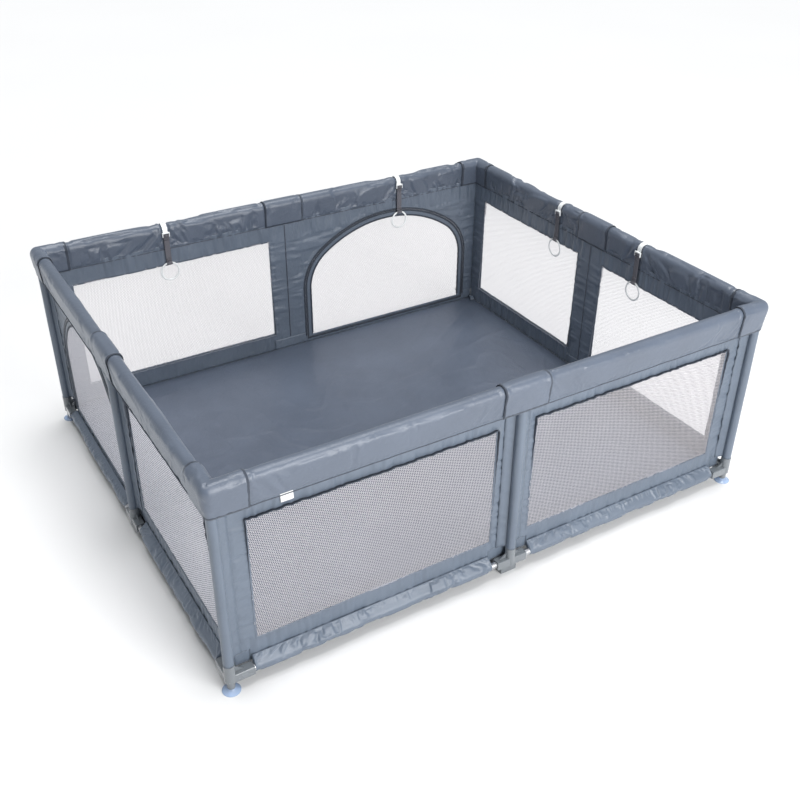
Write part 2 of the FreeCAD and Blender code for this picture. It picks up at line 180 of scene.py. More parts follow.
def mouldedPlastic(name, base, rough, coat=0.0, clear=0.0):
    material, tree, shader, place = startMaterial(name)
    cloud = addNode(tree, "TexNoise", Vector=place, Scale=18.0, Detail=2.0)
    grain = addNode(tree, "TexNoise", Vector=place, Scale=900.0, Detail=2.0)
    plug(tree, shader, Base_Color=tinted(tree, cloud, base, 0.94, 1.05),
         Roughness=addNode(tree, "MapRange", Value=cloud, To_Min=rough - 0.05, To_Max=rough + 0.08),
         Normal=addNode(tree, "Bump", Height=grain, Strength=0.12, Distance=0.0003),
         Coat_Weight=coat, Coat_Roughness=0.12, Transmission_Weight=clear)
    return material


def drawnMetal(name, base, rough, metallic):
    material, tree, shader, place = startMaterial(name)
    streak = addNode(tree, "TexNoise", Vector=place, Scale=60.0, Detail=5.0, Distortion=0.3)
    plug(tree, shader, Base_Color=tinted(tree, streak, base, 0.85, 1.1), Metallic=metallic,
         Roughness=addNode(tree, "MapRange", Value=streak, To_Min=rough - 0.08, To_Max=rough + 0.12))
    return material


def openMesh(name, thread, opened, closed):
    # warp-knit netting: round holes on a triangular grid, in the panel's own map in metres
    material, tree, shader, place = startMaterial(name)
    flat = addNode(tree, "UVMap", {"uv_map": "flat"}, "UV")
    step = 2 * math.pi / (meshHole * 0.866)
    waves = []
    for angle in (11, 71, 131):
        turn = math.radians(angle)
        along = addNode(tree, "VectorMath", {"operation": "DOT_PRODUCT"}, "Value", in0=flat,
                        in1=(math.cos(turn) * step, math.sin(turn) * step, 0))
        waves.append(addNode(tree, "Math", {"operation": "COSINE"}, in0=along))
    total = summed(tree, waves)
    solid = addNode(tree, "MapRange", {"interpolation_type": "SMOOTHSTEP"}, Value=total, From_Min=opened,
                    From_Max=closed, To_Min=0.0, To_Max=1.0)
    uneven = addNode(tree, "TexNoise", Vector=place, Scale=5.0, Detail=2.0)
    plug(tree, shader, Base_Color=tinted(tree, uneven, thread, 0.93, 1), Roughness=0.6,
         Normal=addNode(tree, "Bump", Height=total, Strength=0.15, Distance=-0.0004))
    threads = addNode(tree, "MixShader", in0=0.66, in1=shader.outputs[0],
                      in2=addNode(tree, "BsdfTranslucent", Color=(0.93, 0.90, 0.93, 1)))
    net = addNode(tree, "MixShader", in0=solid, in1=addNode(tree, "BsdfTransparent"), in2=threads)
    plug(tree, next(n for n in tree.nodes if n.type == "OUTPUT_MATERIAL"), Surface=net)
    return material


meshHole = 0.0057  # from one hole of the netting to the next
slateSettings = {"drift": 0.07, "rough": 0.38, "crumpleScale": 34.0, "crumple": 0.3, "thread": 0.0013, "weave": 0.25,
                 "gloss": 0.6, "sheen": 0.2}
tapeChanges = {"thread": 0.0009, "weave": 0.5, "rough": 0.6, "crumple": 0.08, "gloss": 0.3}
slateCloth = wovenCloth("slateCloth", (0.118, 0.147, 0.192), {})
# the rail pads and covers are the walls' cloth, its colour darkened as painted shade for the rails at the back
shadedPadCloth = wovenCloth("shadedPadCloth", (0.094, 0.116, 0.157),
                      {"crumple": 0.32, "crumpleScale": 38.0, "rough": 0.37, "gloss": 0.65})
floorCloth = wovenCloth("floorCloth", (0.080, 0.100, 0.140),
                        {"crumple": 0.35, "crumpleScale": 26.0, "rough": 0.34, "gloss": 0.7})
bindingTape = wovenCloth("bindingTape", (0.080, 0.092, 0.118), tapeChanges)
paleBinding = wovenCloth("paleBinding", (0.16, 0.18, 0.22), {**tapeChanges, "rough": 0.55})
coverBinding = wovenCloth("coverBinding", (0.048, 0.058, 0.078), tapeChanges)
zipTape = wovenCloth("zipTape", (0.050, 0.060, 0.078),
                     {"thread": 0.001, "weave": 0.6, "rough": 0.62, "gloss": 0.3, "crumple": 0.05})
strapWebbing = wovenCloth("strapWebbing", (0.130, 0.128, 0.145),
                          {"thread": 0.0022, "weave": 0.9, "rough": 0.65, "gloss": 0.25, "crumple": 0.05})
labelCloth = wovenCloth("labelCloth", (0.82, 0.82, 0.80),
                        {"thread": 0.0006, "weave": 0.3, "rough": 0.6, "crumple": 0.05, "drift": 0.02})
netting = openMesh("netting", (0.77, 0.725, 0.735), 0.0, -0.62)
# the same netting as on the other walls, made whiter and more open for the left wall: painted light
leftNettingPaintedLight = openMesh("leftNettingPaintedLight", (0.94, 0.95, 1.0), 0.9, 0.1)
connectorPlastic = mouldedPlastic("connectorPlastic", (0.165, 0.182, 0.198), 0.24, coat=0.6)
ringPlastic = mouldedPlastic("ringPlastic", (0.86, 0.88, 0.88), 0.25, coat=0.5)
cupRubber = mouldedPlastic("cupRubber", (0.55, 0.70, 0.95), 0.2, clear=0.45)
steelTube = drawnMetal("steelTube", (0.55, 0.56, 0.58), 0.32, 1.0)
zipMetal = drawnMetal("zipMetal", (0.22, 0.23, 0.26), 0.3, 0.9)
print("materials made:", len(bpy.data.materials))

floorMaterial, floorTree, floorShader, floorPlace = startMaterial("studioFloor")
floorCloud = addNode(floorTree, "TexNoise", Vector=floorPlace, Scale=0.8, Detail=1.0)
floorWhite = lightSettings["floorWhite"]
plug(floorTree, floorShader, Roughness=0.8, Specular_IOR_Level=0.1,
     Base_Color=tinted(floorTree, floorCloud, [floorWhite] * 3, 1 - 0.01 / floorWhite, 1))

# the frame's measures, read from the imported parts
postLow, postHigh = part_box("corner_post_front_right")
halfX = (postLow.x + postHigh.x) / 2
halfY = -(postLow.y + postHigh.y) / 2
railLow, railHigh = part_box("top_rail_tubes")
railZ = (railLow.z + railHigh.z) / 2
sideTurns = {"front": 0, "right": 90, "back": 180, "left": 270}
sideHalf = {"front": halfX, "right": halfY, "back": halfX, "left": halfY}
sideReach = {"front": halfY, "right": halfX, "back": halfY, "left": halfX}
corners = {"front_left": (0, -halfX, -halfY), "front_right": (90, halfX, -halfY),
           "back_right": (180, halfX, halfY), "back_left": (270, -halfX, halfY)}
doorSides = ("back", "left")


def sideMatrix(side):
    # u along the wall, v inward from the line of the posts, z up
    return Matrix.Rotation(math.radians(sideTurns[side]), 4, "Z") @ Matrix.Translation((0, -sideReach[side], 0))


def cornerMatrix(corner):
    turn, x, y = corners[corner]
    return Matrix.Translation((x, y, 0)) @ Matrix.Rotation(math.radians(turn), 4, "Z")


# where each pull-up ring's clip grips its rail, read from the rings themselves
ringPlaces = {}
for number in (1, 2, 3, 4):
    low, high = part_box("pull_ring_%d" % number)
    middle = (low + high) / 2
    side = "back" if middle.y > halfY - 0.1 else "right"
    ringPlaces[number] = (side, (sideMatrix(side).inverted() @ middle).x)


# shared ways of making a piece
def makePiece(name, bm, materials, place=None, smooth=True):
    if place is not None:
        bmesh.ops.transform(bm, matrix=place, verts=bm.verts)
    mesh = bpy.data.meshes.new(name)
    bm.to_mesh(mesh)
    bm.free()
    if smooth:
        mesh.shade_smooth()
    for material in materials:
        mesh.materials.append(material)
    piece = bpy.data.objects.new(name, mesh)
    scene.collection.objects.link(piece)
    return piece


def settleModifiers(piece):
    depsgraph = bpy.context.evaluated_depsgraph_get()
    mesh = bpy.data.meshes.new_from_object(piece.evaluated_get(depsgraph))
    piece.modifiers.clear()
    old = piece.data
    piece.data = mesh
    bpy.data.meshes.remove(old)
    mesh.name = piece.name


def addThickness(piece, thickness, offset=-1.0):
    wall = piece.modifiers.new("thickness", "SOLIDIFY")
    wall.thickness = thickness
    wall.offset = offset


def ride(piece, slot, *nodes, body="frame"):
    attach(piece, body)
    if nodes:
        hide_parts(*nodes)


def clothPiece(name, bm, materials, place, thickness, slot, *nodes, body="frame", offset=0.0):
    piece = makePiece(name, bm, materials, place)
    addThickness(piece, thickness, offset)
    settleModifiers(piece)
    ride(piece, slot, *nodes, body=body)
    return piece


def pointsOf(geom):
    return [g for g in geom if isinstance(g, bmesh.types.BMVert)]


def spreadLines(marks, step):
    lines = [marks[0]]
    for low, high in zip(marks, marks[1:]):
        count = max(1, math.ceil((high - low) / step - 1e-6))
        lines += [low + (high - low) * (k + 1) / count for k in range(count)]
    return lines


def gridSheet(uMarks, zMarks, step, v=0.0, kept=None, zStep=None):
    # a sheet of squares at v, with lines at the marks and at even steps between them
    bm = bmesh.new()
    uLines, zLines = spreadLines(uMarks, step), spreadLines(zMarks, zStep or step)
    columns, rows = len(uLines) - 1, len(zLines) - 1
    made = bmesh.ops.create_grid(bm, x_segments=columns, y_segments=rows, size=0.5)
    for vert in made["verts"]:
        column, row = round((vert.co.x + 0.5) * columns), round((vert.co.y + 0.5) * rows)
        vert.co = Vector((uLines[column], v, zLines[row]))
    middles = [(f, f.calc_center_median()) for f in bm.faces] if kept else []
    bmesh.ops.delete(bm, geom=[f for f, at in middles if not kept(at.x, at.z)], context="FACES")
    return bm


def ripple(a, b, seed=0.0):
    return noise.noise(Vector((a, b, seed)))


def ease(value, start, end):
    share = min(1.0, max(0.0, (value - start) / (end - start)))
    return share * share * (3 - 2 * share)


def layFlatMap(bm):
    # the panel's own map, in metres, for patterns that follow the cloth
    layer = bm.loops.layers.uv.new("flat")
    for face in bm.faces:
        for loop in face.loops:
            loop[layer].uv = (loop.vert.co.x, loop.vert.co.z)


def railOutline(bm, u, radius, feet, drop, steps=22):
    # a round over the rail with a straight side down to each foot, from the inner foot to the outer
    outer, inner = feet
    angles = []
    for foot, hand in ((inner, 1), (outer, -1)):
        angles.append(math.atan2(-drop, foot) + hand * math.acos(radius / math.hypot(foot, drop)))
    start, end = angles[0], angles[1] + (2 * math.pi if angles[1] < angles[0] else 0)
    innerFoot = bm.verts.new((u, inner, railZ - drop))
    first = bm.verts.new((u, radius * math.cos(start), railZ + radius * math.sin(start)))
    arc = bmesh.ops.spin(bm, geom=[first], cent=(u, 0, railZ), axis=(1, 0, 0), angle=end - start, steps=steps)
    last = pointsOf(arc["geom_last"])[0]
    outerFoot = bm.verts.new((u, outer, railZ - drop))
    legs = [bm.edges.new((innerFoot, first)), bm.edges.new((last, outerFoot))]
    return legs, innerFoot, outerFoot


def drawOut(bm, edges, move, cuts):
    # a strip drawn from some edges along a straight line, cut into even rows
    far = pointsOf(bmesh.ops.extrude_edge_only(bm, edges=edges)["geom"])
    bmesh.ops.translate(bm, verts=far, vec=move)
    far = set(far)
    rungs = [e for e in bm.edges if (e.verts[0] in far) != (e.verts[1] in far)]
    bmesh.ops.subdivide_edges(bm, edges=rungs, cuts=cuts, use_grid_fill=True)


def drawAlong(bm, edges, length, step):
    drawOut(bm, edges, (length, 0, 0), max(1, round(length / step) - 1))


def faceUp(bm):
    bmesh.ops.recalc_face_normals(bm, faces=bm.faces)
    if max(bm.faces, key=lambda face: face.calc_center_median().z).normal.z < 0:
        bmesh.ops.reverse_faces(bm, faces=bm.faces)


def cordAlong(bm, start, length, radius, waver, seed):
    # a thin piping cord along u, a little uneven as sewn
    before = set(bm.verts)
    ring = bmesh.ops.create_circle(bm, segments=8, radius=radius,
                                   matrix=Matrix.Translation(start) @ Matrix.Rotation(math.pi / 2, 4, "Y"))
    edges = {e for vert in ring["verts"] for e in vert.link_edges}
    drawOut(bm, list(edges), (length, 0, 0), max(1, round(length / 0.02)))
    for vert in set(bm.verts) - before:
        vert.co.y += waver * ripple(vert.co.x * 22, seed, 1.0)
        vert.co.z += waver * ripple(vert.co.x * 22, seed, 5.0)


# cloth simulation, one run of frames for all the padded and gathered pieces
simulationSettings = {"frames": 20, "quality": 4}
softPieces = []


def readyCloth(piece, pinned, settings):
    group = piece.vertex_groups.new(name="sewn")
    group.add([v.index for v in piece.data.vertices if pinned(v.co)], 1.0, "REPLACE")
    rest = [(v.co.copy(), v.normal.copy()) for v in piece.data.vertices]
    softPieces.append((piece, rest, settings))
    cloth = piece.modifiers.new("cloth", "CLOTH")
    made = cloth.settings
    made.quality = simulationSettings["quality"]
    made.mass = 0.25
    made.tension_stiffness = made.compression_stiffness = 15
    made.shear_stiffness = 6
    made.bending_stiffness = settings["bending"]
    made.use_pressure = True
    made.uniform_pressure_force = settings["pressure"]
    made.shrink_min = -settings["spare"]
    made.vertex_group_mass = "sewn"
    made.effector_weights.gravity = 0.0
    cloth.collision_settings.use_collision = False
    cloth.point_cache.frame_start = 1
    cloth.point_cache.frame_end = simulationSettings["frames"]


def runCloth():
    for number in range(1, simulationSettings["frames"] + 1):
        scene.frame_set(number)
    for piece, rest, settings in softPieces:
        settleModifiers(piece)
        piece.vertex_groups.clear()
        for vert, (start, normal) in zip(piece.data.vertices, rest):
            move = vert.co - start
            lift = move.dot(normal)
            slide = move - normal * lift
            if slide.length > settings["slide"]:
                slide *= settings["slide"] / slide.length
            vert.co = start + normal * max(-settings["sink"], min(settings["swell"], lift)) + slide
        print("cloth settled:", piece.name, len(piece.data.vertices), "points")
    scene.frame_set(1)


# top rail pads
padSettings = {"radius": 0.0208, "feet": (-0.0146, 0.0176), "drop": 0.0678, "end": 0.0235, "voxel": 0.0053,
               "pinch": 0.0042, "bulge": 0.0018, "coverMiddle": 0.079, "coverCorner": 0.094}
padCloths = {"pressure": 4.0, "spare": 0.15, "bending": 0.12, "swell": 0.0026, "sink": 0.0030, "slide": 0.004}
tautPads = {"spare": 0.07, "bending": 0.4, "swell": 0.0014, "sink": 0.0012}  # drawn tighter on these two sides


def evenSkin(kind, side, hand, bm, material, voxel):
    # closes the ends of a swept form and gives it even faces, ready for the cloth
    bmesh.ops.holes_fill(bm, edges=[e for e in bm.edges if e.is_boundary])
    bmesh.ops.recalc_face_normals(bm, faces=bm.faces)
    piece = makePiece("%s_%s_%s" % (kind, side, "right" if hand > 0 else "left"), bm, [material])
    remesh = piece.modifiers.new("remesh", "REMESH")
    remesh.mode = "VOXEL"
    remesh.voxel_size = voxel
    settleModifiers(piece)
    return piece


def pinchPads(piece, marks):
    s = padSettings
    for vert in piece.data.vertices:
        reach = Vector((0, vert.co.y, vert.co.z - railZ))
        for mark in marks:
            far = abs(vert.co.x - mark)
            if far < 0.05 and vert.co.z > railZ - 0.03:
                squeeze = s["pinch"] * (1 - ease(far, 0.0095, 0.021)) - s["bulge"] * ease(far, 0.014, 0.024) * (
                    1 - ease(far, 0.03, 0.05))
                vert.co -= reach.normalized() * squeeze


def railPad(side, hand):
    s = padSettings
    half = sideHalf[side]
    low, high = sorted((hand * s["end"], hand * (half - s["end"])))
    bm = bmesh.new()
    legs, innerFoot, outerFoot = railOutline(bm, low, s["radius"], s["feet"], s["drop"])
    bm.edges.new((outerFoot, innerFoot))
    bmesh.ops.subdivide_edges(bm, edges=legs, cuts=8)
    drawAlong(bm, bm.edges[:], high - low, 0.03)
    piece = evenSkin("railPad", side, hand, bm, shadedPadCloth, s["voxel"])
    marks = [u for place, u in ringPlaces.values() if place == side and u * hand > 0]
    pinchPads(piece, marks)

    def sewn(point):
        a = abs(point.x)
        return (point.z < railZ - s["drop"] + 0.004 or a < s["coverMiddle"] or a > half - s["coverCorner"]
                or any(abs(point.x - mark) < 0.012 for mark in marks))

    readyCloth(piece, sewn, {**padCloths, **(tautPads if side in ("front", "left") else {})})
    return piece


pads = {(side, hand): railPad(side, hand) for side in sideTurns for hand in (1, -1)}
print("rail pads shaped")

# sleeves gathered on the bottom rail
bottomSleeveSettings = {"radius": 0.0128, "railZ": 0.047, "seamV": 0.0150, "seamZ": 0.080, "doorSeamZ": 0.068,
                        "middle": 0.0675, "corner": 0.0655, "voxel": 0.0045}
bottomCloths = {"pressure": 2.2, "spare": 0.16, "bending": 0.15, "swell": 0.0026, "sink": 0.0018, "slide": 0.004}


def bottomSleeve(side, hand):
    s = bottomSleeveSettings
    low, high = sorted((hand * s["middle"], hand * (sideHalf[side] - s["corner"])))
    seamZ = s["doorSeamZ"] if side in doorSides and hand < 0 else s["seamZ"]  # lower where a door folds out
    rise = seamZ - s["railZ"]
    lean, open_ = math.atan2(rise, s["seamV"]), math.acos(s["radius"] / math.hypot(s["seamV"], rise))
    bm = bmesh.new()
    turn = lean + open_
    first = bm.verts.new((low, s["radius"] * math.cos(turn), s["railZ"] + s["radius"] * math.sin(turn)))
    arc = bmesh.ops.spin(bm, geom=[first], cent=(low, 0, s["railZ"]), axis=(1, 0, 0),
                         angle=2 * math.pi - 2 * open_, steps=20)
    last = pointsOf(arc["geom_last"])[0]
    seam = bm.verts.new((low, s["seamV"], seamZ))
    bm.edges.new((last, seam))
    bm.edges.new((seam, first))
    drawAlong(bm, bm.edges[:], high - low, 0.03)
    piece = evenSkin("bottomSleeve", side, hand, bm, slateCloth, s["voxel"])

    def sewn(point):
        return point.z > seamZ - 0.006 or min(point.x - low, high - point.x) < 0.004

    readyCloth(piece, sewn, bottomCloths)
    return piece


bottomSleeves = {(side, hand): bottomSleeve(side, hand) for side in sideTurns for hand in (1, -1)}
print("bottom sleeves shaped")

# covers at the corners and the middles of the rails
coverSettings = {"radius": 0.0238, "feet": (-0.0168, 0.0198), "drop": 0.0705, "cornerReach": 0.090,
                 "middleReach": 0.075, "border": 0.0075, "step": 0.006, "thickness": 0.0012}
coverCloths = {"pressure": 2.0, "spare": 0.05, "bending": 0.4, "swell": 0.0014, "sink": 0.0004, "slide": 0.002}


def boundCover(name, bm, reach, along):
    # bound at its ends and feet, and held there while the rest swells
    foot = railZ - coverSettings["drop"]
    faceUp(bm)
    for face in bm.faces:
        middle = face.calc_center_median()
        border = coverSettings["border"]
        face.material_index = int(along(middle) > reach - border or middle.z < foot + border)
    piece = makePiece(name, bm, [shadedPadCloth, coverBinding])
    readyCloth(piece, lambda point: point.z < foot + 0.003 or along(point) > reach - 0.003, coverCloths)
    return piece


def cornerCover(corner):
    s = coverSettings
    bm = bmesh.new()
    legs = railOutline(bm, s["cornerReach"], s["radius"], s["feet"], s["drop"], 24)[0]
    bmesh.ops.subdivide_edges(bm, edges=legs, cuts=10)
    top = min(bm.verts, key=lambda vert: abs(vert.co.y) + (1 if vert.co.z < railZ else 0))
    top.co.y = 0.0
    startVerts = set(bm.verts)
    made = bmesh.ops.extrude_edge_only(bm, edges=bm.edges[:])
    for vert in pointsOf(made["geom"]):
        vert.co.x = max(0.0, vert.co.y)
    rungs = [e for e in bm.edges if (e.verts[0] in startVerts) != (e.verts[1] in startVerts)]
    bmesh.ops.subdivide_edges(bm, edges=rungs, cuts=14, use_grid_fill=True)
    copied = bmesh.ops.duplicate(bm, geom=bm.verts[:] + bm.edges[:] + bm.faces[:])["geom"]
    swap = Matrix(((0, 1, 0, 0), (1, 0, 0, 0), (0, 0, 1, 0), (0, 0, 0, 1)))
    bmesh.ops.transform(bm, matrix=swap, verts=pointsOf(copied))
    outside = [e for e in bm.edges if all(abs(v.co.x) < 1e-6 and v.co.y < 1e-6 for v in e.verts)]
    bmesh.ops.spin(bm, geom=outside, cent=(0, 0, 0), axis=(0, 0, 1), angle=-math.pi / 2, steps=8)
    bmesh.ops.remove_doubles(bm, verts=bm.verts, dist=0.00005)
    return boundCover("cornerCover_" + corner, bm, s["cornerReach"], lambda point: max(point.x, point.y))


def middleCover(side):
    s = coverSettings
    bm = bmesh.new()
    legs = railOutline(bm, -s["middleReach"], s["radius"], s["feet"], s["drop"], 24)[0]
    bmesh.ops.subdivide_edges(bm, edges=legs, cuts=10)
    drawAlong(bm, bm.edges[:], 2 * s["middleReach"], s["step"])
    return boundCover("middleCover_" + side, bm, s["middleReach"], lambda point: abs(point.x))


cornerCovers = {corner: cornerCover(corner) for corner in corners}
middleCovers = {side: middleCover(side) for side in sideTurns}
print("covers shaped")

runCloth()

for madePieces, fill in ((pads, 0.75), (bottomSleeves, 0.3)):
    for (side, hand), piece in madePieces.items():
        subdivide = piece.modifiers.new("round", "SUBSURF")
        subdivide.levels = subdivide.render_levels = 1
        settleModifiers(piece)
        piece.data.shade_smooth()
        piece.data.transform(sideMatrix(side))
        ride(piece, "fabric", "rail_pad_" + side if madePieces is pads else "bottom_rail_sleeves")
for corner, piece in cornerCovers.items():
    addThickness(piece, coverSettings["thickness"])
    settleModifiers(piece)
    piece.data.transform(cornerMatrix(corner))
    ride(piece, "fabric", "corner_covers")
for side, piece in middleCovers.items():
    addThickness(piece, coverSettings["thickness"])
    settleModifiers(piece)
    piece.data.transform(sideMatrix(side))
    fold = sideMatrix(side)
    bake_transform(piece)
    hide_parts("middle_covers", "cover_flap_" + side)
print("padded pieces finished")

# fabric walls
wallSettings = {"v": 0.0165, "thickness": 0.0016, "low": 0.0555, "high": 0.582, "windowLow": 0.128,
                "windowHigh": 0.506, "fromCorner": 0.088, "fromMiddle": 0.067, "sill": 0.072, "notchTop": 0.095,
                "notch": 0.065, "step": 0.0044, "pucker": 0.0048, "sag": 0.0014}
doorSettings = {"fromMiddle": 0.072, "fromCorner": 0.066, "spring": 0.280, "crown": 0.528, "sideRadius": 0.190,
                "gap": 0.001, "border": 0.025, "hem": 0.010, "low": 0.073, "thickness": 0.0016}


def doorShape(side):
    s = doorSettings
    far, near = sideHalf[side] - s["fromCorner"], s["fromMiddle"]
    return (far - near) / 2, -(far + near) / 2


def archShape(halfWidth):
    # three-centred: the shoulders' reach, the crown's radius, its centre below the spring, the shoulders' lean
    d = doorSettings
    reach, tall = halfWidth - d["sideRadius"], d["crown"] - d["spring"]
    radius = (reach ** 2 + tall ** 2 - d["sideRadius"] ** 2) / (2 * (tall - d["sideRadius"]))
    return reach, radius, radius - tall, math.atan2(radius - tall, reach)


def archOutline(bm, halfWidth, foot, inset):
    # the arch on two straight legs, centred on u = 0
    spring = doorSettings["spring"]
    reach, radius, below, lean = archShape(halfWidth)
    start = bm.verts.new((halfWidth - inset, 0, foot))
    last = bm.verts.new((halfWidth - inset, 0, spring))
    legs = [bm.edges.new((start, last))]
    for x, z, angle, steps in ((reach, spring, lean, 18), (0, spring - below, math.pi - 2 * lean, 30),
                               (-reach, spring, lean, 18)):
        made = bmesh.ops.spin(bm, geom=[last], cent=(x, 0, z), axis=(0, -1, 0), angle=angle, steps=steps)
        last = pointsOf(made["geom_last"])[0]
    end = bm.verts.new((-(halfWidth - inset), 0, foot))
    legs.append(bm.edges.new((last, end)))
    sillEdge = bm.edges.new((end, start))
    bmesh.ops.subdivide_edges(bm, edges=legs, cuts=16)
    return sillEdge


def archPlate(halfWidth, foot, inset, sillCuts=40):
    bm = bmesh.new()
    sillEdge = archOutline(bm, halfWidth, foot, inset)
    bmesh.ops.subdivide_edges(bm, edges=[sillEdge], cuts=sillCuts)
    bmesh.ops.remove_doubles(bm, verts=bm.verts, dist=0.00001)
    bmesh.ops.edgeloop_fill(bm, edges=bm.edges[:])
    bm.normal_update()
    if bm.faces[:][0].normal.y > 0:
        bmesh.ops.reverse_faces(bm, faces=bm.faces)
    return bm


def openUp(bm, width, rings=1):
    # leaves only a border of the plate, in rings of even width
    for k in range(rings):
        inner = max(bm.faces, key=lambda face: face.calc_area())
        bmesh.ops.inset_region(bm, faces=[inner], thickness=width / rings, use_even_offset=True, use_boundary=True)
    inner = max(bm.faces, key=lambda face: face.calc_area())
    bmesh.ops.delete(bm, geom=[inner], context="FACES_ONLY")


def archDistance(side, u, z):
    # how far a point of the wall is from the outline of its doorway
    d = doorSettings
    if side not in doorSides or u > 0:
        return 1.0
    halfWidth, middle = doorShape(side)
    x, rise = abs(u - middle), z - d["spring"]
    if rise < 0:
        return abs(x - halfWidth)
    reach, radius, below, lean = archShape(halfWidth)
    if math.atan2(rise, x - reach) < lean:
        return abs(math.hypot(x - reach, rise) - d["sideRadius"])
    return abs(math.hypot(x, rise + below) - radius)


def wallMove(side, u, z):
    # puckers run across each band; near the posts the cloth is held close
    s = wallSettings
    seed = sideTurns[side] / 17.0
    half = sideHalf[side]
    top = ease(z, s["windowHigh"] - 0.02, s["windowHigh"] + 0.012)
    bottom = 1 - ease(z, s["windowLow"] - 0.012, s["windowLow"] + 0.02)
    upright = max(0.0, 1 - top - bottom)
    near = min(abs(u), half - abs(u))
    strong = 0.45 + 0.55 * ease(near, 0.015, 0.04)
    across = 1.0 * ripple(u * 68, z * 9, seed) + 0.7 * ripple(u * 115, z * 14, seed + 3)
    down = 1.2 * ripple(u * 9, z * 66, seed + 6) + 0.7 * ripple(u * 15, z * 115, seed + 9)
    a = abs(u)
    edge = min(abs(a - s["fromMiddle"]), abs(a - half + s["fromCorner"])) if upright > 0.5 else 1.0
    doorway = archDistance(side, u, z)
    edge = min(edge, doorway - 0.006)
    strong *= 0.2 + 0.8 * ease(edge, 0.001, 0.011)
    slack = ripple(u * 8, z * 8, seed + 12)
    move = s["pucker"] * strong * (across * (top + 0.75 * bottom) + down * upright) + s["sag"] * slack
    return max(-0.0003 if near < 0.046 or doorway < 0.016 else -0.0022, min(0.0026, move))


def wallFabric(side):
    s, d = wallSettings, doorSettings
    half = sideHalf[side]
    end = half - (0.0155 if side in ("front", "back") else 0.0175)
    hasDoor = side in doorSides
    far = half - s["fromCorner"]
    marks = [s["fromMiddle"], far, half - s["notch"], end]
    left = [d["fromMiddle"], half - d["fromCorner"]] if hasDoor else []
    uMarks = sorted({-m for m in marks + left} | set(marks))
    zMarks = sorted({s["low"], s["sill"], s["notchTop"], s["windowLow"], s["windowHigh"], s["high"]}
                    | ({d["spring"]} if hasDoor else set()))

    def kept(u, z):
        a = abs(u)
        if z < s["notchTop"] and (a > half - s["notch"] or a < s["fromMiddle"]):
            return False
        if hasDoor and u < 0:
            return not (d["fromMiddle"] < a < half - d["fromCorner"] and s["sill"] < z < d["spring"])
        return not (s["fromMiddle"] < a < far and s["windowLow"] < z < s["windowHigh"])

    bm = gridSheet(uMarks, zMarks, s["step"], s["v"], kept)
    flatArea = sum(f.calc_area() for f in bm.faces)  # as cut, before the puckers
    for vert in bm.verts:
        vert.co.y += wallMove(side, vert.co.x, vert.co.z)
    piece = makePiece("wallFabric_" + side, bm, [slateCloth])
    addThickness(piece, s["thickness"], 0.0)
    if hasDoor:
        halfWidth, middle = doorShape(side)
        cutter = archPlate(halfWidth, d["spring"] - 0.03, 0.0, 10)
        flatArea -= sum(f.calc_area() for f in cutter.faces) - 2 * halfWidth * 0.03
        bmesh.ops.translate(cutter, verts=cutter.verts, vec=(middle, s["v"] - 0.03, 0))
        bmesh.ops.solidify(cutter, geom=cutter.faces[:], thickness=0.06)
        bmesh.ops.recalc_face_normals(cutter, faces=cutter.faces)
        hole = makePiece("doorCutter", cutter, [slateCloth])
        box = [v.co.y for v in hole.data.vertices]
        hole.data.transform(Matrix.Translation((0, s["v"] - (min(box) + max(box)) / 2, 0)))
        cut = piece.modifiers.new("doorway", "BOOLEAN")
        cut.operation = "DIFFERENCE"
        cut.solver = "EXACT"
        cut.object = hole
    settleModifiers(piece)
    if hasDoor:
        bpy.data.objects.remove(hole)
    piece.data.transform(sideMatrix(side))
    ride(piece, "fabric", "wall_fabric_" + side)


for side in sideTurns:
    wallFabric(side)
print("walls made")

# see-through windows, with a bound edge on both faces
windowSettings = {"overlap": 0.004, "step": 0.02, "sag": 0.0025, "thickness": 0.0006, "binding": 0.0085,
                  "bindingThickness": 0.0007}


def sideNetting(side):
    # the left wall gets the netting with painted light
    return leftNettingPaintedLight if side == "left" else netting


def windowSpans(side):
    s = wallSettings
    spans = [(s["fromMiddle"], sideHalf[side] - s["fromCorner"])]
    if side not in doorSides:
        spans.append((-spans[0][1], -spans[0][0]))
    return spans


def windowNetting(side, number, span):
    s, w = wallSettings, windowSettings
    low, high = span[0] - w["overlap"], span[1] + w["overlap"]
    zLow, zHigh = s["windowLow"] - w["overlap"], s["windowHigh"] + w["overlap"]
    bm = gridSheet([low, high], [zLow, zHigh], w["step"], s["v"])
    layFlatMap(bm)
    for vert in bm.verts:
        u, z = vert.co.x, vert.co.z
        inside = math.sin(math.pi * (u - low) / (high - low)) * math.sin(math.pi * (z - zLow) / (zHigh - zLow))
        vert.co.y += w["sag"] * inside * (1 + 1.3 * ripple(u * 7, z * 7, number))
    piece = makePiece("windowNetting_%s_%d" % (side, number), bm, [sideNetting(side)], sideMatrix(side))
    ride(piece, "mesh", "window_mesh")


def bindingFrame(bm, low, high, zLow, zHigh, v, width):
    # a flat tape round the window, mitred at the corners
    made = bmesh.ops.create_grid(bm, x_segments=1, y_segments=1, size=0.5)
    for vert in made["verts"]:
        vert.co = Vector((low if vert.co.x < 0 else high, v, zLow if vert.co.y < 0 else zHigh))
    face = next(f for f in bm.faces if set(f.verts) == set(made["verts"]))
    bmesh.ops.inset_region(bm, faces=[face], thickness=width, use_even_offset=True, use_boundary=True)
    bmesh.ops.delete(bm, geom=[face], context="FACES_ONLY")


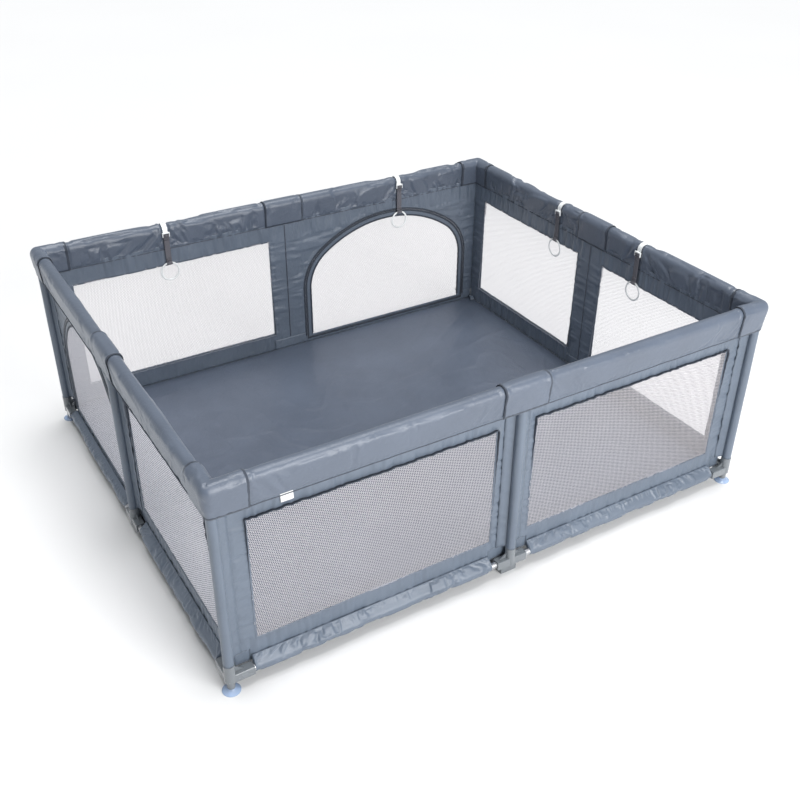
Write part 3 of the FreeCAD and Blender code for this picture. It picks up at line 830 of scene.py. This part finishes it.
def windowBindings(side):
    s, w = wallSettings, windowSettings
    bm = bmesh.new()
    for low, high in windowSpans(side):
        for v in (s["v"] - 0.0018, s["v"] + 0.0018):
            grow = w["binding"] * 0.55
            bindingFrame(bm, low - grow, high + grow, s["windowLow"] - grow, s["windowHigh"] + grow, v, w["binding"])
    long = [e for e in bm.edges if e.calc_length() > 0.05]
    bmesh.ops.subdivide_edges(bm, edges=long, cuts=150, use_grid_fill=True)
    for face in bm.faces:
        face.material_index = 1 if face.calc_center_median().y > s["v"] else 0
    for vert in bm.verts:
        vert.co.y += wallMove(side, vert.co.x, vert.co.z)
        vert.co.z += 0.0005 * ripple(vert.co.x * 40, vert.co.z * 40, 2.0)
        vert.co.x += 0.0005 * ripple(vert.co.x * 40, vert.co.z * 40, 8.0)
    clothPiece("windowBinding_" + side, bm, [bindingTape, paleBinding], sideMatrix(side), w["bindingThickness"],
               "zip_tape")


for side in sideTurns:
    for number, span in enumerate(windowSpans(side)):
        windowNetting(side, number, span)
    windowBindings(side)
print("windows made")


# zip-open doors
zipSettings = {"foot": 0.076, "pitch": 0.0034, "tooth": (0.0015, 0.0044, 0.0026), "wallFoot": 0.080,
               "doorFoot": 0.0745, "tapeApart": 0.0016, "tape": 0.0008}
trimSettings = {"bindingApart": 0.0017, "binding": 0.0065, "bindingFoot": 0.0845, "tape": 0.0007,
                "sillLow": 0.0665, "sillHigh": 0.0765, "sillApart": 0.0016}


def doorMove(side, u, z):
    seed = 40 + sideTurns[side]
    return 0.0007 * ripple(u * 60, z * 60, seed) + 0.0008 * ripple(u * 10, z * 10, seed)


def borderLength(halfWidth):
    # the strip a door's border is sewn from: two legs, the arch, and the narrower hem along the sill
    d = doorSettings
    inset = d["border"] / 2
    reach, radius, below, lean = archShape(halfWidth)
    arch = 2 * lean * (d["sideRadius"] - inset) + (math.pi - 2 * lean) * (radius - inset)
    return 2 * (d["spring"] - d["low"]) + arch + (2 * halfWidth - 2 * d["border"]) * d["hem"] / d["border"]


def doorBorder(side):
    d = doorSettings
    halfWidth, middle = doorShape(side)
    bm = archPlate(halfWidth, d["low"], d["gap"], 60)
    openUp(bm, d["border"], 4)
    hemShare = d["hem"] / d["border"]
    for vert in bm.verts:
        if vert.co.z < d["low"] + d["border"] + 0.001:
            vert.co.z = d["low"] + (vert.co.z - d["low"]) * hemShare
        vert.co.x += middle
        vert.co.y += wallSettings["v"] + doorMove(side, vert.co.x, vert.co.z)
    piece = clothPiece("doorBorder_" + side, bm, [slateCloth], sideMatrix(side), d["thickness"], "fabric",
                       "door_border_" + side, body="door_" + side)
    net = archPlate(halfWidth, d["low"] + d["hem"] - 0.002, d["border"] - 0.003, 2)
    bmesh.ops.triangulate(net, faces=net.faces[:])
    bmesh.ops.translate(net, verts=net.verts, vec=(middle, wallSettings["v"], 0))
    layFlatMap(net)
    netArea = sum(f.calc_area() for f in net.faces)
    netPiece = makePiece("doorNetting_" + side, net, [sideNetting(side)], sideMatrix(side))
    ride(netPiece, "mesh", "door_mesh_" + side, body="door_" + side)
    borderLength(halfWidth)


def doorBinding(side):
    # dark tape where the netting is sewn to the door's border, on both faces
    both = bmesh.new()
    s = trimSettings
    for v in (wallSettings["v"] - s["bindingApart"], wallSettings["v"] + s["bindingApart"]):
        addBand(both, archBand(side, doorSettings["border"] - 0.0045, s["binding"], s["bindingFoot"]), v)
    for vert in both.verts:
        vert.co.y += doorMove(side, vert.co.x, vert.co.z)
    clothPiece("doorBinding_" + side, both, [coverBinding], sideMatrix(side), s["tape"], "zip_tape",
               body="door_" + side)


def addBand(both, band, v):
    # puts a strip into a mesh that holds one for each face of the cloth
    bmesh.ops.translate(band, verts=band.verts, vec=(0, v, 0))
    part = bpy.data.meshes.new("bandPart")
    band.to_mesh(part)
    band.free()
    both.from_mesh(part)
    bpy.data.meshes.remove(part)


def archBand(side, inset, width, foot):
    # a strip that follows the arch, inset from its outer edge
    halfWidth, middle = doorShape(side)
    bm = archPlate(halfWidth, foot, inset, 2)
    openUp(bm, width)
    sill = [f for f in bm.faces if f.calc_center_median().z < foot + width * 0.7]
    bmesh.ops.delete(bm, geom=sill, context="FACES")
    bmesh.ops.translate(bm, verts=bm.verts, vec=(middle, 0, 0))
    return bm


def sillTape(side):
    # a tape sewn inside the wall covers the narrow gap under the door's foot
    halfWidth, middle = doorShape(side)
    s = trimSettings
    bm = gridSheet([middle - halfWidth + 0.001, middle + halfWidth - 0.001], [s["sillLow"], s["sillHigh"]], 0.006,
                   wallSettings["v"] + s["sillApart"], zStep=0.005)
    for vert in bm.verts:
        vert.co.y += max(0.0, wallMove(side, vert.co.x, 0.0710))
    clothPiece("sillTape_" + side, bm, [zipTape], sideMatrix(side), s["tape"], "zip_tape")


def zipHalf(side, name, inset, width, body):
    both = bmesh.new()
    s = zipSettings
    move, foot = (wallMove, s["wallFoot"]) if body == "frame" else (doorMove, s["doorFoot"])
    for v in (wallSettings["v"] - s["tapeApart"], wallSettings["v"] + s["tapeApart"]):
        addBand(both, archBand(side, inset, width, foot), v)
    for vert in both.verts:
        vert.co.y += move(side, vert.co.x, vert.co.z)
    clothPiece(name, both, [zipTape], sideMatrix(side), s["tape"], "zip_tape", body=body)


def zipTeeth(side, name, inset, offset, body):
    # one row of moulded teeth along the arch, half a pitch out of step with the other row
    halfWidth, middle = doorShape(side)
    line = bmesh.new()
    archOutline(line, halfWidth, zipSettings["foot"], inset)
    bmesh.ops.remove_doubles(line, verts=line.verts, dist=0.00001)
    sill = [e for e in line.edges if max(v.co.z for v in e.verts) < zipSettings["foot"] + 0.0005]
    bmesh.ops.delete(line, geom=sill, context="EDGES")
    path = [min(line.verts, key=lambda vert: vert.co.z - vert.co.x)]
    walked = set(path)
    while True:
        onward = [e.other_vert(path[-1]) for e in path[-1].link_edges if e.other_vert(path[-1]) not in walked]
        if not onward:
            break
        path.append(onward[0])
        walked.add(onward[0])
    points = [vert.co.copy() for vert in path]
    line.free()
    bm = bmesh.new()
    size = Matrix.Diagonal((*zipSettings["tooth"], 1))
    travelled, target = 0.0, offset
    for one, other in zip(points, points[1:]):
        span = (other - one).length
        while target < travelled + span:
            place = one.lerp(other, (target - travelled) / span) + Vector((middle, wallSettings["v"], 0))
            run = (other - one).normalized()
            turn = Matrix((run, Vector((0, 1, 0)), run.cross(Vector((0, 1, 0))))).transposed().to_4x4()
            bmesh.ops.create_cube(bm, size=1.0, matrix=Matrix.Translation(place) @ turn @ size)
            target += zipSettings["pitch"]
        travelled += span
    piece = makePiece(name, bm, [zipMetal], sideMatrix(side), smooth=False)
    ride(piece, "zip_metal", body=body)


for side in doorSides:
    doorBorder(side)
    doorBinding(side)
    sillTape(side)
    zipHalf(side, "zipTapeDoor_" + side, 0.0022, 0.006, "door_" + side)
    zipHalf(side, "zipTapeWall_" + side, -0.0065, 0.0065, "frame")
    zipTeeth(side, "zipTeethDoor_" + side, 0.0012, 0.004, "door_" + side)
    zipTeeth(side, "zipTeethWall_" + side, -0.0002, 0.0057, "frame")
print("doors made")

# sleeves over the posts
sleeveSettings = {"radius": 0.0142, "low": 0.0915, "high": 0.600, "thickness": 0.0011, "seam": 0.0011}


def postSleeve(name, place, seed):
    s = sleeveSettings
    bm = bmesh.new()
    bmesh.ops.create_circle(bm, segments=28, radius=s["radius"], matrix=Matrix.Translation((0, 0, s["low"])))
    drawOut(bm, bm.edges[:], (0, 0, s["high"] - s["low"]), 90)
    bmesh.ops.recalc_face_normals(bm, faces=bm.faces)
    for vert in bm.verts:
        angle = math.atan2(vert.co.y, vert.co.x)
        z = vert.co.z
        end = 1 - ease(z, s["low"], s["low"] + 0.04) + ease(z, 0.52, 0.57)
        fold = 0.00055 * ripple(math.cos(angle) * 1.6 + seed, math.sin(angle) * 1.6, z * 9)
        gather = 0.0006 * end * ripple(math.cos(angle) * 5, math.sin(angle) * 5 + seed, z * 45)
        seamLine = s["seam"] * math.exp(-((angle + math.pi * 0.75) / 0.09) ** 2) * 0.8
        grow = 1 + (fold + gather + seamLine * 0.6) / s["radius"]
        vert.co.x *= grow
        vert.co.y *= grow
    piece = clothPiece("postSleeve_" + name, bm, [slateCloth], place, s["thickness"], "fabric", "post_sleeves",
                       offset=-1.0)


for index, corner in enumerate(corners):
    postSleeve(corner, cornerMatrix(corner), index * 3.1)
for index, side in enumerate(sideTurns):
    postSleeve(side, sideMatrix(side), 20 + index * 3.1)
webSettings = {"low": 0.0955, "high": 0.566, "thickness": 0.001, "gather": 0.0028}


def postWeb(name, place, swapped):
    # cloth that runs from the post sleeve onto the wall at each hand, with a crease between
    s = webSettings
    bm = bmesh.new()
    starts = []
    for hand in (0, 1):
        last = None
        for x, y in ((0.042, 0.0148), (0.030, 0.0140), (0.020, 0.0118), (0.0150, 0.0080), (0.0128, 0.0062)):
            point = ((y, x) if swapped else (-x, y)) if hand else (x, y)
            vert = bm.verts.new((*point, s["low"]))
            if last is not None:
                starts.append(bm.edges.new((last, vert)))
            last = vert
    height = s["high"] - s["low"]
    drawOut(bm, starts, (0, 0, height), 76)
    width = sum(f.calc_area() for f in bm.faces) / height  # across both hands, before the gathers
    for vert in bm.verts:
        x, y, z = vert.co
        move = -s["gather"] * max(0.0, 0.3 + ripple(z * 68, x * 8 + y * 8, 3.0 + len(name))) * ease(
            abs(x) + abs(y), 0.022, 0.035)
        vert.co.y += move
        if swapped:
            vert.co.x += move
    piece = clothPiece("postWeb_" + name, bm, [slateCloth], place, s["thickness"], "fabric")


for corner in corners:
    postWeb(corner, cornerMatrix(corner), True)
for side in sideTurns:
    postWeb(side, sideMatrix(side), False)
print("post sleeves made")

liningSettings = {"v": 0.0176, "low": 0.0565, "high": 0.0965, "middle": 0.0685, "corner": 0.0665, "end": 0.0195,
                  "thickness": 0.0008}


def notchLining(side):
    # cloth behind each cut-out, so the connectors don't show from inside
    s = liningSettings
    half = sideHalf[side]
    marks = [s["middle"], half - s["corner"], half - s["end"]]
    bm = gridSheet(sorted([-m for m in marks]) + marks, [s["low"], s["high"]], 0.008, s["v"],
                   lambda u, z: abs(u) < s["middle"] or abs(u) > half - s["corner"], 0.006)
    for vert in bm.verts:
        vert.co.y = max(0.0164, vert.co.y + wallMove(side, vert.co.x, vert.co.z))
    piece = clothPiece("notchLining_" + side, bm, [slateCloth], sideMatrix(side), s["thickness"], "fabric")


for side in sideTurns:
    notchLining(side)

# piping along the foot of the pads, and a seam up the middle of each wall
pipingSettings = {"radius": 0.0014, "waver": 0.0006, "outer": -0.0150, "inner": 0.0182, "z": 0.5665}


def pipings(side):
    s = pipingSettings
    half = sideHalf[side]
    bm = bmesh.new()
    for hand in (1, -1):
        low = min(hand * 0.070, hand * (half - 0.086))
        for v in (s["outer"], s["inner"]):
            cordAlong(bm, Vector((low, v, s["z"])), half - 0.156, s["radius"], s["waver"], hand + v * 100)
    piece = makePiece("padPiping_" + side, bm, [bindingTape], sideMatrix(side))
    ride(piece, "zip_tape")
    bm = bmesh.new()
    cordAlong(bm, Vector((0.10, 0.0, 0.0)), 0.46, 0.0018, 0.0007, -1)
    turn = Matrix.Translation((0.0, 0.0186, 0.0)) @ Matrix.Rotation(-math.pi / 2, 4, "Y")
    bmesh.ops.transform(bm, matrix=turn, verts=bm.verts)
    seam = makePiece("wallSeam_" + side, bm, [bindingTape], sideMatrix(side))
    ride(seam, "zip_tape")


for side in sideTurns:
    pipings(side)

# play floor
playFloorSettings = {"half": (0.8520, 0.7120), "z": 0.0572, "step": 0.0078, "thickness": 0.0016}


def playFloor():
    s = playFloorSettings
    halfU, halfV = s["half"]
    bm = gridSheet([-halfU, halfU], [-halfV, halfV], s["step"])
    for vert in bm.verts:
        x, y = vert.co.x, vert.co.z
        edge = min(halfU - abs(x), halfV - abs(y))
        held = ease(edge, 0.0, 0.06)
        warp = 2.2 * ripple(x * 1.6, y * 1.6, 4.0)
        broad = ripple(x * 2.4 + warp, y * 2.4 - warp, 1.0)
        ridge = max(0.0, 1 - abs(ripple(x * 4.5 + warp, y * 6 + warp, 2.0)) * 3.2) ** 6
        fine = max(0.0, 1 - abs(ripple(x * 12 - warp, y * 9 + warp, 7.0)) * 2.8) ** 5
        calm = 0.35 + 0.65 * ease(ripple(x * 2.0, y * 2.0, 11.0), -0.2, 0.25)
        rise = held * (0.0026 * broad + calm * (0.0024 * ridge + 0.0013 * fine) - 0.0016)
        rise = max(-0.006, rise) + 0.0006 * (1 - held) * ripple(x * 60, y * 60, 3.0)
        vert.co = Vector((x, y, s["z"] + rise))
    faceUp(bm)
    piece = clothPiece("playFloor", bm, [floorCloth], None, s["thickness"], "fabric", "floor_fabric", offset=-1.0)


playFloor()
print("play floor made")

# straps, label and corner loops
strapSettings = {"width": 0.0198, "thickness": 0.0015, "topRadius": 0.0027, "loopRadius": 0.0058, "twist": 0.0006}


def ringStrap(number):
    s = strapSettings
    low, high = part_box("ring_strap_%d" % number)
    side, u = ringPlaces[number]
    toSide = sideMatrix(side).inverted()
    boxes = [toSide @ low, toSide @ high]
    v = (boxes[0].y + boxes[1].y) / 2
    barZ, loopZ = high.z - 0.0035, low.z + 0.0066
    bm = bmesh.new()
    edge = s["width"] / 2

    def strip(bottom, top, at, rows):
        one, other = bm.verts.new((u - edge, at, bottom)), bm.verts.new((u + edge, at, bottom))
        base = bm.edges.new((one, other))
        bmesh.ops.subdivide_edges(bm, edges=[base], cuts=5)
        verts = [x for x in bm.verts if abs(x.co.z - bottom) < 1e-7 and abs(x.co.y - at) < 1e-7]
        edges = [e for e in bm.edges if e.verts[0] in verts and e.verts[1] in verts]
        drawOut(bm, edges, (0, 0, top - bottom), rows)

    def loop(z, radius, steps):
        one, other = bm.verts.new((u - edge, v, z + radius)), bm.verts.new((u + edge, v, z + radius))
        base = bm.edges.new((one, other))
        bmesh.ops.spin(bm, geom=[base], cent=(u, v, z), axis=(1, 0, 0), angle=2 * math.pi, steps=steps,
                       use_merge=True)

    strip(loopZ + s["loopRadius"], barZ - s["topRadius"], v, 24)
    strip(barZ - s["topRadius"] - 0.016, barZ - s["topRadius"], v + s["thickness"], 5)
    strip(loopZ + s["loopRadius"], loopZ + s["loopRadius"] + 0.014, v + s["thickness"], 5)
    for vert in bm.verts:
        share = (vert.co.z - loopZ) / (barZ - loopZ)
        bow = math.sin(math.pi * min(1, max(0, share)))
        vert.co.y += s["twist"] * bow * ripple((vert.co.x - u) * 60, vert.co.z * 30, number)
    loop(barZ, s["topRadius"], 14)
    loop(loopZ, s["loopRadius"], 18)
    bmesh.ops.solidify(bm, geom=bm.faces[:], thickness=s["thickness"] / 2)
    for z in (barZ - 0.0075, barZ - 0.0155, loopZ + 0.0095, loopZ + 0.0165):
        for k in range(9):  # bar tack stitches across the strap
            bmesh.ops.create_cube(bm, size=1.0, matrix=Matrix.Translation((u - 0.0075 + 0.0019 * k, v + 0.0026, z))
                                  @ Matrix.Diagonal((0.0007, 0.0007, 0.0026, 1)))
    piece = makePiece("ringStrap_%d" % number, bm, [strapWebbing], sideMatrix(side))
    ride(piece, "webbing", "ring_strap_%d" % number, body="ring_strap_%d" % number)


for number in ringPlaces:
    ringStrap(number)


def careLabel():
    low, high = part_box("care_label")
    bm = gridSheet([low.x, high.x], [low.z, high.z], 0.003, (low.y + high.y) / 2)
    for vert in bm.verts:
        free = ease(high.z - vert.co.z, 0.004, 0.030)
        vert.co.y -= 0.0016 + free * (0.0022 + 0.0012 * ripple(vert.co.x * 45, vert.co.z * 30, 2.0))
    bmesh.ops.recalc_face_normals(bm, faces=bm.faces)
    piece = clothPiece("careLabel", bm, [labelCloth], None, 0.0005, "label", "care_label")


careLabel()


def cornerLoop(corner, seed):
    # a short loop of folded cloth where the play floor meets the corner
    bm = bmesh.new()
    one, other = bm.verts.new((0.024, 0.058, 0.0605)), bm.verts.new((0.040, 0.052, 0.0605))
    base = bm.edges.new((one, other))
    bmesh.ops.subdivide_edges(bm, edges=[base], cuts=4)
    bmesh.ops.spin(bm, geom=bm.edges[:], cent=(0.046, 0.030, 0.0605), axis=(1, -0.35, 0.0), angle=-math.pi, steps=16)
    for vert in bm.verts:
        vert.co.z = 0.0600 + abs(vert.co.z - 0.0605) * 0.45 + 0.002 * ripple(vert.co.x * 90, vert.co.y * 90, seed)
        vert.co.z = max(0.0592, vert.co.z)
    clothPiece("cornerLoop_" + corner, bm, [slateCloth], cornerMatrix(corner), 0.0014, "fabric")


for index, corner in enumerate(corners):
    cornerLoop(corner, index * 2.3)
print("trims made")

# finishes for the hard parts from the frame
hardFinishes = {"bottom_corner": connectorPlastic, "bottom_tee": connectorPlastic, "top_corner": connectorPlastic,
                "top_tee": connectorPlastic, "suction": cupRubber, "corner_post": steelTube, "middle_post": steelTube,
                "top_rail_tubes": steelTube, "bottom_rail_tubes": steelTube, "ring_clips": ringPlastic,
                "pull_ring": ringPlastic, "zip_slider": zipMetal, "zip_pull": zipMetal}
for name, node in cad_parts.items():
    finish = next((material for start, material in hardFinishes.items() if name.startswith(start)), None)
    if finish is None:
        continue
    for slot in node.material_slots:
        slot.material = finish
print("hard parts finished")

stageFloor = bmesh.new()
bmesh.ops.create_grid(stageFloor, x_segments=1, y_segments=1, size=30.0)
studioFloor = makePiece("studioFloor", stageFloor, [floorMaterial])

print("scene ready")
